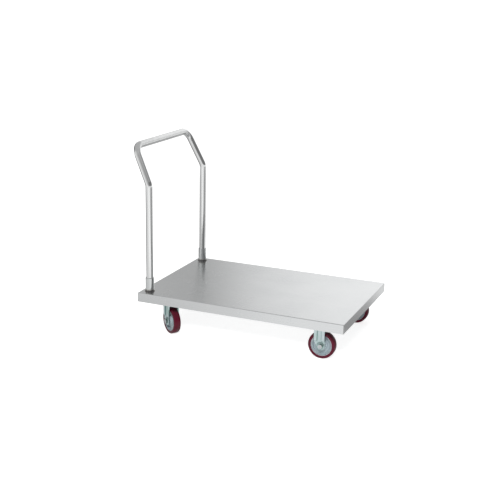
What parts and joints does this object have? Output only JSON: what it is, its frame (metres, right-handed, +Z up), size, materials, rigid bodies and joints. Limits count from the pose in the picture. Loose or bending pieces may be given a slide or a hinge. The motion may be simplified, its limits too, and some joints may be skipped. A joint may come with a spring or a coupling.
{
  "type": "platform cart",
  "caption": "Flat-deck push cart: folded sheet deck on casters, fixed at the front and swivelling under the handle, with a bent tube push handle standing in collars.",
  "frame": {"origin": "on the floor, at the middle of the bounding box", "axes": "+X along the deck from the handle end to the front, +Y to the left side, +Z up"},
  "size_m": [1.057, 0.66, 0.882],
  "materials": {
    "deck_steel": "fine satin stainless sheet",
    "frame_steel": "plain stainless sheet, as rolled",
    "handle_steel": "polished stainless tube",
    "collar_steel": "polished stainless, welded into the deck",
    "caster_zinc": "bright zinc plate on pressed steel",
    "fastener_zinc": "zinc-plated steel",
    "bearing_steel": "ground bearing steel",
    "tread": "dark red moulded elastic tread",
    "wheel_core": "grey moulded nylon",
    "dust_cap": "pressed zinc-plated cap"
  },
  "bodies": {
    "platform": {"deck_sheet": "deck_steel", "cross_channel_rear": "frame_steel", "cross_channel_front": "frame_steel", "deck_rib_1": "frame_steel", "deck_rib_2": "frame_steel", "deck_rib_3": "frame_steel", "handle_collar_left": "collar_steel", "handle_collar_right": "collar_steel", "push_handle": "handle_steel", "lock_screws": "fastener_zinc", "caster_bolts": "fastener_zinc", "caster_nuts": "fastener_zinc", "swivel_plate_left": "caster_zinc", "kingpin_left": "fastener_zinc", "lower_race_left": "caster_zinc", "fixed_plate_left": "caster_zinc", "fixed_fork_left": "caster_zinc", "axle_bolt_front_left": "fastener_zinc", "axle_nut_front_left": "fastener_zinc", "axle_bushes_front_left": "fastener_zinc", "swivel_plate_right": "caster_zinc", "kingpin_right": "fastener_zinc", "lower_race_right": "caster_zinc", "fixed_plate_right": "caster_zinc", "fixed_fork_right": "caster_zinc", "axle_bolt_front_right": "fastener_zinc", "axle_nut_front_right": "fastener_zinc", "axle_bushes_front_right": "fastener_zinc"},
    "swivel_left": {"swivel_fork_left": "caster_zinc", "upper_balls_left": "bearing_steel", "lower_balls_left": "bearing_steel", "axle_bolt_rear_left": "fastener_zinc", "axle_nut_rear_left": "fastener_zinc", "axle_bushes_rear_left": "fastener_zinc"},
    "swivel_right": {"swivel_fork_right": "caster_zinc", "upper_balls_right": "bearing_steel", "lower_balls_right": "bearing_steel", "axle_bolt_rear_right": "fastener_zinc", "axle_nut_rear_right": "fastener_zinc", "axle_bushes_rear_right": "fastener_zinc"},
    "wheel_rear_left": {"wheel_tread_rear_left": "tread", "wheel_core_rear_left": "wheel_core", "wheel_bearings_rear_left": "bearing_steel", "dust_caps_rear_left": "dust_cap"},
    "wheel_rear_right": {"wheel_tread_rear_right": "tread", "wheel_core_rear_right": "wheel_core", "wheel_bearings_rear_right": "bearing_steel", "dust_caps_rear_right": "dust_cap"},
    "wheel_front_left": {"wheel_tread_front_left": "tread", "wheel_core_front_left": "wheel_core", "wheel_bearings_front_left": "bearing_steel", "dust_caps_front_left": "dust_cap"},
    "wheel_front_right": {"wheel_tread_front_right": "tread", "wheel_core_front_right": "wheel_core", "wheel_bearings_front_right": "bearing_steel", "dust_caps_front_right": "dust_cap"}
  },
  "joints": [
    {"name": "swivel_left_turn", "type": "hinge", "parent": "platform", "child": "swivel_left", "pos_m": [-0.3555, 0.244, 0.159], "axis": [0, 0, 1], "continuous": true},
    {"name": "swivel_right_turn", "type": "hinge", "parent": "platform", "child": "swivel_right", "pos_m": [-0.3555, -0.244, 0.159], "axis": [0, 0, 1], "continuous": true},
    {"name": "wheel_front_left_spin", "type": "hinge", "parent": "platform", "child": "wheel_front_left", "pos_m": [0.4125, 0.255, 0.0625], "axis": [0, 1, 0], "continuous": true},
    {"name": "wheel_front_right_spin", "type": "hinge", "parent": "platform", "child": "wheel_front_right", "pos_m": [0.4125, -0.255, 0.0625], "axis": [0, 1, 0], "continuous": true},
    {"name": "wheel_rear_left_spin", "type": "hinge", "parent": "swivel_left", "child": "wheel_rear_left", "pos_m": [-0.32476, 0.22166, 0.0625], "axis": [0.5878, 0.809, 0], "continuous": true},
    {"name": "wheel_rear_right_spin", "type": "hinge", "parent": "swivel_right", "child": "wheel_rear_right", "pos_m": [-0.32476, -0.26634, 0.0625], "axis": [0.5878, 0.809, 0], "continuous": true}
  ]
}
